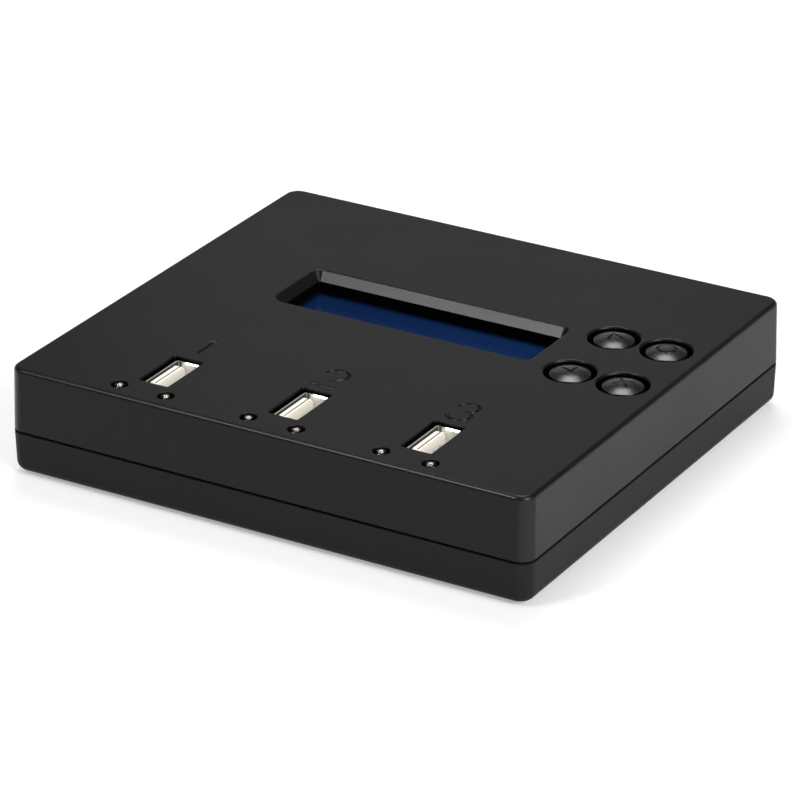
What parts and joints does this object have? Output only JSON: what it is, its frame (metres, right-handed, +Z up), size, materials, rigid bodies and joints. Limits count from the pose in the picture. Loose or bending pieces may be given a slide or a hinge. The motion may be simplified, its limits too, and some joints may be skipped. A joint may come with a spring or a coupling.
{
  "type": "usb flash drive duplicator",
  "caption": "Low black desk unit that copies flash drives: upright USB ports along the front, a sunken display window and round press keys on the top face.",
  "frame": {"origin": "centre of the footprint, on the surface that the rubber feet stand on", "axes": "+X along the front edge to the right as seen from the front, +Y towards the back, +Z up"},
  "size_m": [0.12, 0.1106, 0.0241],
  "materials": {
    "top_shell_plastic": "fine satin grain",
    "bottom_shell_plastic": "fine satin grain",
    "key_plastic": "satin, slightly glossy",
    "port_steel": "nickel-plated sheet",
    "port_plastic": "moulded cream",
    "clear_resin": "clear",
    "display_blue": "glossy",
    "display_steel": "blackened sheet",
    "guide_acrylic": "milky",
    "board_green": "solder mask",
    "header_plastic": "moulded",
    "screw_steel": "blackened",
    "foot_rubber": "matte",
    "switch_plastic": "moulded",
    "stem_plastic": "moulded",
    "inlet_plastic": "moulded",
    "inlet_brass": "nickel-plated",
    "chip_epoxy": "moulded",
    "can_metal": "drawn can",
    "ferrite": "sintered"
  },
  "bodies": {
    "case": {"top_shell": "top_shell_plastic", "bottom_shell": "bottom_shell_plastic", "case_screw_1": "screw_steel", "case_screw_2": "screw_steel", "case_screw_3": "screw_steel", "case_screw_4": "screw_steel", "rubber_foot_1": "foot_rubber", "rubber_foot_2": "foot_rubber", "rubber_foot_3": "foot_rubber", "rubber_foot_4": "foot_rubber", "main_board": "board_green", "board_screw_1": "screw_steel", "board_screw_2": "screw_steel", "board_screw_3": "screw_steel", "board_screw_4": "screw_steel", "port_shell_1": "port_steel", "port_shell_2": "port_steel", "port_shell_3": "port_steel", "port_insert_1": "port_plastic", "port_insert_2": "port_plastic", "port_insert_3": "port_plastic", "status_light_1": "clear_resin", "status_light_2": "clear_resin", "status_light_3": "clear_resin", "status_light_4": "clear_resin", "status_light_5": "clear_resin", "status_light_6": "clear_resin", "up_switch_housing": "switch_plastic", "confirm_switch_housing": "switch_plastic", "down_switch_housing": "switch_plastic", "cancel_switch_housing": "switch_plastic", "display_frame": "display_steel", "display_glass": "display_blue", "light_guide": "guide_acrylic", "display_board": "board_green", "display_header": "header_plastic", "display_screw_1": "screw_steel", "display_screw_2": "screw_steel", "display_screw_3": "screw_steel", "display_screw_4": "screw_steel", "inlet_housing": "inlet_plastic", "inlet_pin": "inlet_brass", "controller_chip": "chip_epoxy", "memory_chip": "chip_epoxy", "crystal": "can_metal", "power_inductor": "ferrite", "input_capacitor": "can_metal", "buzzer": "chip_epoxy"},
    "up_key": {"up_key_cap": "key_plastic", "up_switch_stem": "stem_plastic"},
    "confirm_key": {"confirm_key_cap": "key_plastic", "confirm_switch_stem": "stem_plastic"},
    "down_key": {"down_key_cap": "key_plastic", "down_switch_stem": "stem_plastic"},
    "cancel_key": {"cancel_key_cap": "key_plastic", "cancel_switch_stem": "stem_plastic"}
  },
  "joints": [
    {"name": "up_key_press", "type": "slide", "parent": "case", "child": "up_key", "axis": [0, 0, -1], "range_m": [0, 0.0005], "stiffness_N_per_m": 800, "springref_m": -0.001},
    {"name": "confirm_key_press", "type": "slide", "parent": "case", "child": "confirm_key", "axis": [0, 0, -1], "range_m": [0, 0.0005], "stiffness_N_per_m": 800, "springref_m": -0.001},
    {"name": "down_key_press", "type": "slide", "parent": "case", "child": "down_key", "axis": [0, 0, -1], "range_m": [0, 0.0005], "stiffness_N_per_m": 800, "springref_m": -0.001},
    {"name": "cancel_key_press", "type": "slide", "parent": "case", "child": "cancel_key", "axis": [0, 0, -1], "range_m": [0, 0.0005], "stiffness_N_per_m": 800, "springref_m": -0.001}
  ]
}
